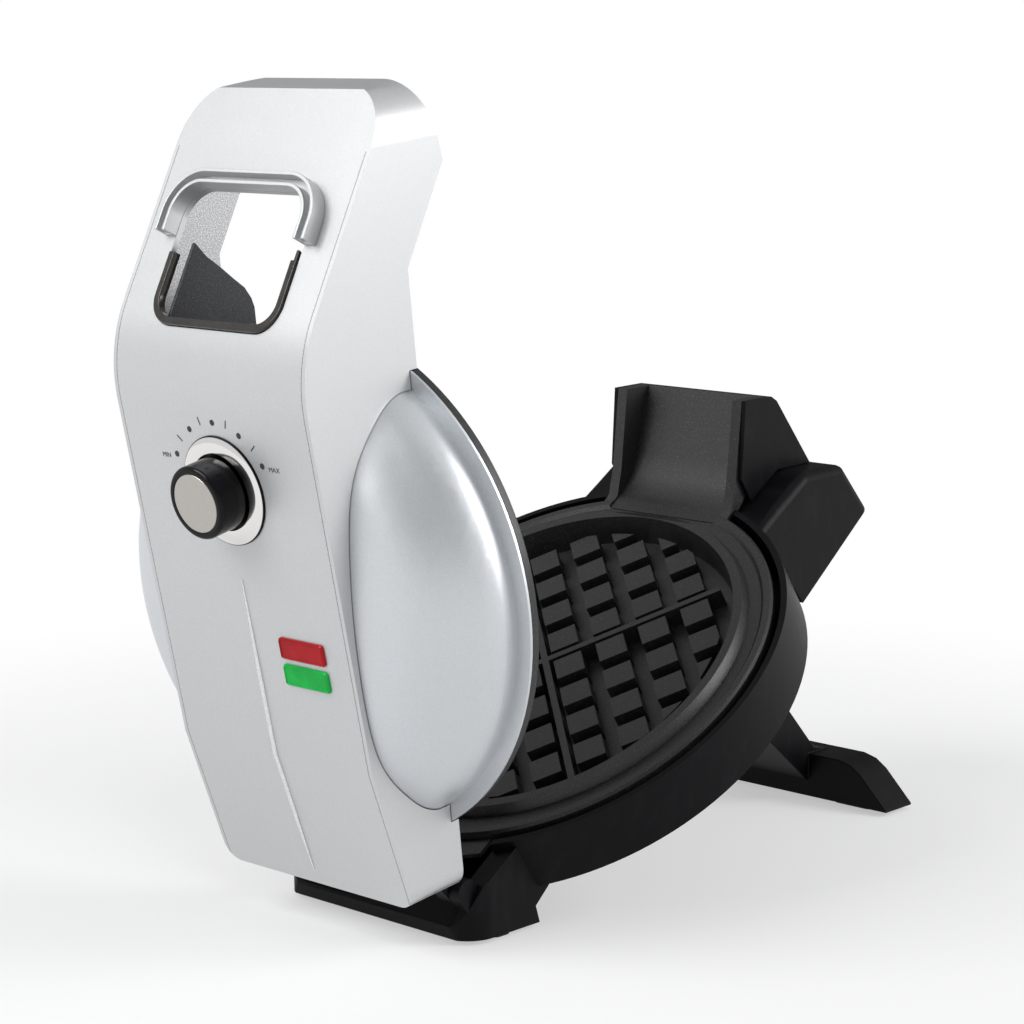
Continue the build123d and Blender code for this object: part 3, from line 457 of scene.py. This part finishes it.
# Each: two colours, grain, roughness, relief and metal
PLAIN_FINISHES = {
    "steel": ((0.50, 0.50, 0.51), (0.62, 0.62, 0.63), 2.0, 0.22, 0.01, 1.0),
    "shield_alu": ((0.72, 0.72, 0.73), (0.80, 0.80, 0.81), 6.0, 0.30, 0.03, 1.0),
    "rubber_black": ((0.022, 0.022, 0.022), (0.035, 0.035, 0.035), 1.2, 0.68, 0.08, 0.0),
    "board_green": ((0.02, 0.14, 0.06), (0.04, 0.22, 0.10), 2.5, 0.35, 0.02, 0.0),
    "terminal_white": ((0.72, 0.70, 0.64), (0.80, 0.79, 0.74), 1.5, 0.55, 0.03, 0.0),
    "blackened_steel": ((0.020, 0.020, 0.022), (0.032, 0.032, 0.034), 1.6, 0.30, 0.02, 0.6),
    # The raised line's silver is lighter and glossier than the strip's own paint: a painted highlight along it.
    "rib_highlight_silver": ((0.70, 0.70, 0.71), (0.80, 0.80, 0.81), 1.0, 0.12, 0.004, 0.8),
}
for finish_name, values in PLAIN_FINISHES.items():
    finishes[finish_name] = plain(finish_name, *values)
ink = printed_ink()


# ---- modelling helpers -------------------------------------------------------------------------------
def only(piece):
    """Leaves one object selected and active."""
    bpy.ops.object.select_all(action="DESELECT")
    piece.select_set(True)
    bpy.context.view_layer.objects.active = piece


def edit(piece):
    """Opens a piece's mesh for editing, with all of it selected."""
    only(piece)
    bpy.ops.object.mode_set(mode="EDIT")
    bpy.ops.mesh.select_all(action="SELECT")


def close():
    bpy.ops.object.mode_set(mode="OBJECT")


def apply_modifiers(piece):
    only(piece)
    for modifier in list(piece.modifiers):
        bpy.ops.object.modifier_apply(modifier=modifier.name)


def smooth(piece, angle=35):
    """Shades a piece smoothly, with edges sharper than the angle kept."""
    only(piece)
    bpy.ops.object.shade_smooth_by_angle(angle=radians(angle))


def settle(piece, place):
    """Puts a piece that was made round the origin at a place and moves the place into its mesh."""
    piece.data.transform(place)
    piece.data.update()


def finish_piece(piece, material, body):
    """Gives a piece its finish and the body that it rides."""
    piece.data.materials.clear()
    piece.data.materials.append(material)
    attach(piece, body)
    return piece


BODY = {node: body for body, nodes in frame["record"]["behaviour"]["bodies"].items() for node in nodes}
SLOT = {row["node"]: row["material_slot"] for row in frame["record"]["subparts"]}


def copied(node):
    """A copy of a CAD node's mesh whose flat faces are whole, ready to be shaped."""
    piece = bpy.data.objects.new(node + "_moulded", frame["nodes"][node].data.copy())
    bpy.context.scene.collection.objects.link(piece)
    edit(piece)
    bpy.ops.mesh.remove_doubles(threshold=0.01 * MM)
    bpy.ops.mesh.dissolve_limited(angle_limit=radians(0.5))
    close()
    return piece


def picked(piece, kind, test):
    """Selects the edges or faces that pass a test, and leaves the mesh open for editing."""
    edit(piece)
    bpy.ops.mesh.select_mode(type=kind)
    bpy.ops.mesh.select_all(action="DESELECT")
    mesh = bmesh.from_edit_mesh(piece.data)
    for part in mesh.edges if kind == "EDGE" else mesh.faces:
        part.select = test(part)
    mesh.select_flush_mode()
    bmesh.update_edit_mesh(piece.data)


def rounded(piece, offset, segments, test):
    """Rounds the edges that pass a test."""
    picked(piece, "EDGE", test)
    bpy.ops.mesh.bevel(offset=offset * MM, segments=segments, affect="EDGES", clamp_overlap=False)
    close()


def flatten_faces(piece):
    """Keeps large flat faces evenly shaded beside their rounded edges."""
    weigh = piece.modifiers.new("weigh", "WEIGHTED_NORMAL")
    weigh.weight = 100
    weigh.keep_sharp = True
    apply_modifiers(piece)


def finished(piece, node, edge, segments=2, angle=32):
    """Breaks the remaining sharp edges and lets the piece stand for its CAD node."""
    bevel = piece.modifiers.new("edges", "BEVEL")
    bevel.width = edge * MM
    bevel.segments = segments
    bevel.limit_method = "ANGLE"
    bevel.angle_limit = radians(angle)
    apply_modifiers(piece)
    smooth(piece)
    flatten_faces(piece)
    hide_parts(node)
    return finish_piece(piece, finishes[SLOT[node]], BODY[node])


def softened(node, edge, segments=2):
    """Stands for a moulded CAD node: the same form with its sharp edges rounded by edge millimetres."""
    return finished(copied(node), node, edge, segments)


def bends(edge, least=25):
    """True for an edge where the surface turns by more than least degrees."""
    return len(edge.link_faces) == 2 and edge.calc_face_angle(0) > radians(least)


def block():
    """The rear block with the large rounding of its outer edges."""
    piece = copied("rear_block")
    to_base = BASE.inverted()

    def outer(corner):
        spot = to_base @ corner.co / MM
        return abs(spot.x) > BLOCK_HALF - BLOCK_SLACK and (spot.y > EDGE_V or spot.z > BLOCK_LOW_N)

    def turns_outside(edge):
        return bends(edge) and all(outer(corner) for corner in edge.verts)

    rounded(piece, BLOCK_ROUNDING, 5, turns_outside)
    return finished(piece, "rear_block", 0.5)


def plate():
    """The lower plate with a round bend where its chute rises."""
    piece = copied("lower_plate")
    to_base = BASE.inverted()

    def on_bend(corner):
        spot = to_base @ corner.co / MM
        return abs(spot.y - CHUTE_BEND_V) < CHUTE_BEND_REACH and abs(spot.z - CHUTE_FLOOR) < CHUTE_BEND_REACH

    def crosses(edge):
        width = abs(edge.verts[0].co.x - edge.verts[1].co.x)
        return bends(edge, 8) and all(on_bend(end) for end in edge.verts) and width > CHUTE_EDGE_LEAST * MM

    rounded(piece, CHUTE_ROUNDING, 6, crosses)
    return finished(piece, "lower_plate", 0.8)


def lens(node):
    """A lens whose window lies a little below its bright rim."""
    piece = copied(node)
    outward = DIAL.to_3x3() @ Vector((0, 0, 1))
    picked(piece, "FACE", lambda face: face.normal.dot(outward) > FACING)
    bpy.ops.mesh.inset(thickness=LENS_RIM * MM, depth=-LENS_SINK * MM)
    close()
    return finished(piece, node, LENS_EDGE, 2, LENS_ANGLE)


def bezel():
    """The ring round the knob: a shallow bright cone between a black rim and a black well."""
    corners = len(BEZEL_SECTION)
    bpy.ops.object.select_all(action="DESELECT")
    bpy.ops.mesh.primitive_torus_add(major_segments=BEZEL_SIDES, minor_segments=corners,
                                     major_radius=0.02, minor_radius=0.004)
    piece = bpy.context.object
    piece.name = "dial_bezel_turned"
    for count, corner in enumerate(piece.data.vertices):
        radius, height = BEZEL_SECTION[count % corners]
        flat = Vector((corner.co.x, corner.co.y, 0)).normalized() * radius
        corner.co = (flat + Vector((0, 0, height))) * MM
    edit(piece)
    bpy.ops.mesh.normals_make_consistent(inside=False)
    close()
    settle(piece, DIAL)
    smooth(piece, 30)
    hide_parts("dial_bezel")
    return finish_piece(piece, finishes["bezel_chrome"], "lid")


for name, cad_node in frame["nodes"].items():
    cad_node.data.materials.clear()
    cad_node.data.materials.append(finishes[SLOT[name]])

for name in ("hinge_bracket", "hinge_pin_left", "hinge_pin_right"):
    frame["nodes"][name].data.materials[0] = finishes["blackened_steel"]

softened("lid_shell", 1.6, 3)
softened("base_housing", 0.8)
block()
softened("chute_shroud", 0.6)
softened("rear_leg", 1.0)
plate()
softened("upper_plate", 0.8)
softened("window_hood", 0.3)
softened("window_trim", 0.5)
softened("batter_guide", 0.5)
softened("lid_dome", 0.4)
bezel()
softened("knob", 0.8, 3)
softened("knob_cap", 0.3)
lens("red_lens")
lens("green_lens")


# ---- printing round the dial ---------------------------------------------------------------------------
def on_dial(angle, radius):
    """Place on the dial's face at an angle from straight up and a radius in millimetres."""
    turn = Matrix.Rotation(-radians(angle), 4, "Z")
    return DIAL @ turn @ Matrix.Translation((0, radius * MM, 0))


def dot(number, angle):
    """A dot of the scale."""
    bpy.ops.object.select_all(action="DESELECT")
    bpy.ops.mesh.primitive_cylinder_add(vertices=32, radius=DOT_RADIUS * MM, depth=2 * PRINT_THICKNESS * MM)
    piece = bpy.context.object
    piece.name = f"scale_dot_{number}"
    settle(piece, on_dial(angle, DOT_CIRCLE))
    return finish_piece(piece, ink, "lid")


def tick(number, angle):
    """A short line of the scale, between two dots."""
    bpy.ops.object.select_all(action="DESELECT")
    bpy.ops.mesh.primitive_cube_add(size=1)
    piece = bpy.context.object
    piece.name = f"scale_tick_{number}"
    size = Matrix.Diagonal((TICK_WIDTH * MM, TICK_LENGTH * MM, 2 * PRINT_THICKNESS * MM, 1))
    settle(piece, on_dial(angle, TICK_CIRCLE) @ size)
    return finish_piece(piece, ink, "lid")


def letters(word, x):
    """A word printed beside the scale."""
    curve = bpy.data.curves.new("word_" + word.lower(), "FONT")
    curve.body = word
    curve.size = LETTER_SIZE * MM
    curve.align_x = "CENTER"
    curve.align_y = "CENTER"
    curve.extrude = PRINT_THICKNESS * MM
    piece = bpy.data.objects.new("word_" + word.lower(), curve)
    bpy.context.scene.collection.objects.link(piece)
    only(piece)
    bpy.ops.object.convert(target="MESH")
    settle(piece, DIAL @ Matrix.Translation((x * MM, WORD_Y * MM, 0)))
    return finish_piece(piece, ink, "lid")


for count, bearing in enumerate(DOT_ANGLES):
    dot(count, bearing)
for count, bearing in enumerate(TICK_ANGLES):
    tick(count, bearing)
letters("MIN", -WORD_X)
letters("MAX", WORD_X)


# ---- raised line down the lid's front --------------------------------------------------------------------
def face_n(v):
    """N of the lid's front face below the waist."""
    low, high = (TOE, BELLY_FOOT) if v < BELLY_FOOT[0] else (BELLY_FOOT, WAIST)
    return low[1] + (high[1] - low[1]) * (v - low[0]) / (high[0] - low[0])


def front_rib():
    """The raised line, thinner at both ends, in a lighter silver that paints a highlight along it."""
    curve = bpy.data.curves.new("front_rib", "CURVE")
    curve.dimensions = "3D"
    curve.bevel_depth = RIB_RADIUS * MM
    curve.bevel_resolution = 4
    curve.use_fill_caps = True
    line = curve.splines.new("POLY")
    line.points.add(len(RIB_STOPS) - 1)
    for point, v in zip(line.points, RIB_STOPS):
        point.co = (*(LID @ Vector((0, v * MM, (face_n(v) + RIB_LIFT) * MM))), 1)
        point.radius = RIB_TIP if v in (RIB_STOPS[0], RIB_STOPS[-1]) else 1.0
    piece = bpy.data.objects.new("front_rib", curve)
    bpy.context.scene.collection.objects.link(piece)
    only(piece)
    bpy.ops.object.convert(target="MESH")
    smooth(piece, 60)
    # its lighter silver is a painted highlight
    return finish_piece(piece, finishes["rib_highlight_silver"], "lid")


front_rib()


# ---- floor, light and camera -----------------------------------------------------------------------------
def ray_is(tree, *kinds):
    """1 for rays of the named kinds, 0 for all others."""
    rays = add_node(tree, "ShaderNodeLightPath").outputs
    total = rays[kinds[0]]
    for kind in kinds[1:]:
        either = add_node(tree, "ShaderNodeMath", {"operation": "MAXIMUM"}, {0: total, 1: rays[kind]})
        total = either.outputs[0]
    return total


def mixed(tree, share, first, second):
    """A shader that goes from the first node to the second by a share."""
    inputs = {"Fac": share, 1: first.outputs[0], 2: second.outputs[0]}
    return add_node(tree, "ShaderNodeMixShader", {}, inputs)


def backdrop():
    """White floor that keeps the object's shadow near it and is plain white further out."""
    bpy.ops.object.select_all(action="DESELECT")
    bpy.ops.mesh.primitive_plane_add(size=FLOOR_SIZE)
    floor = bpy.context.object
    floor.name = "floor"
    cloth = bpy.data.materials.new("floor_white")
    cloth.use_nodes = True
    tree = cloth.node_tree
    tree.nodes.remove(tree.nodes["Principled BSDF"])
    lit = add_node(tree, "ShaderNodeBsdfDiffuse", {}, {"Color": FLOOR_GREY})
    white = add_node(tree, "ShaderNodeEmission")
    place = add_node(tree, "ShaderNodeTexCoord").outputs["Object"]
    away = add_node(tree, "ShaderNodeVectorMath", {"operation": "LENGTH"}, {0: place}).outputs["Value"]
    fade = eased(tree, away, {"From Min": SHADOW_INNER, "From Max": SHADOW_OUTER, "To Min": FLOOR_LIFT})
    seen = ray_is(tree, "Is Camera Ray", "Is Glossy Ray", "Is Transmission Ray")
    share = add_node(tree, "ShaderNodeMath", {"operation": "MULTIPLY"}, {0: fade, 1: seen}).outputs[0]
    mix = mixed(tree, share, lit, white)
    tree.links.new(mix.outputs[0], tree.nodes["Material Output"].inputs["Surface"])
    floor.data.materials.append(cloth)


def world_light():
    """Even light for matt surfaces, plain white for the camera, and a studio with dimmer sides in gloss."""
    world = bpy.data.worlds.new("studio")
    bpy.context.scene.world = world
    world.use_nodes = True
    tree = world.node_tree
    even = tree.nodes["Background"]
    even.inputs["Color"].default_value = WORLD_TINT
    even.inputs["Strength"].default_value = WORLD_LEVEL
    white = add_node(tree, "ShaderNodeBackground", {}, {"Color": (1, 1, 1, 1)})
    place = add_node(tree, "ShaderNodeTexCoord").outputs["Generated"]
    level = 1.0
    for side, start, depth in DIM_SIDES:
        sight = {0: place, 1: Vector(side).normalized()}
        aim = add_node(tree, "ShaderNodeVectorMath", {"operation": "DOT_PRODUCT"}, sight).outputs["Value"]
        dim = eased(tree, aim, {"From Min": start, "To Min": 1.0, "To Max": 1.0 - depth})
        level = add_node(tree, "ShaderNodeMath", {"operation": "MULTIPLY"}, {0: dim, 1: level}).outputs[0]
    studio = add_node(tree, "ShaderNodeBackground", {}, {"Strength": level})
    gloss = mixed(tree, ray_is(tree, "Is Glossy Ray"), even, studio)
    direct = mixed(tree, ray_is(tree, "Is Camera Ray", "Is Transmission Ray"), gloss, white)
    tree.links.new(direct.outputs[0], tree.nodes["World Output"].inputs["Surface"])


def softbox(name, place, aim, size, power):
    """A rectangular lamp that faces a point."""
    light = bpy.data.lights.new(name, "AREA")
    light.shape = "RECTANGLE"
    light.size = size[0]
    light.size_y = size[1]
    light.energy = power
    lamp = bpy.data.objects.new(name, light)
    lamp.location = place
    lamp.rotation_euler = (Vector(aim) - Vector(place)).to_track_quat("-Z", "Y").to_euler()
    bpy.context.scene.collection.objects.link(lamp)


def camera():
    """The camera in front of the machine and a little above it."""
    optics = bpy.data.cameras.new("camera")
    optics.lens = FOCAL_LENGTH
    optics.sensor_width = SENSOR_WIDTH
    eye = bpy.data.objects.new("camera", optics)
    eye.location = CAMERA_PLACE
    eye.rotation_euler = (radians(CAMERA_PITCH), 0, radians(CAMERA_HEADING))
    bpy.context.scene.collection.objects.link(eye)
    bpy.context.scene.camera = eye


backdrop()
world_light()
softbox("key", place=(-0.4, -1.35, 1.25), aim=(0, 0, 0.15), size=(1.0, 1.0), power=22)
softbox("side", place=(1.5, 0.9, 1.0), aim=(0, 0, 0.25), size=(0.9, 1.2), power=24)
camera()
bpy.context.scene.view_settings.view_transform = "Standard"
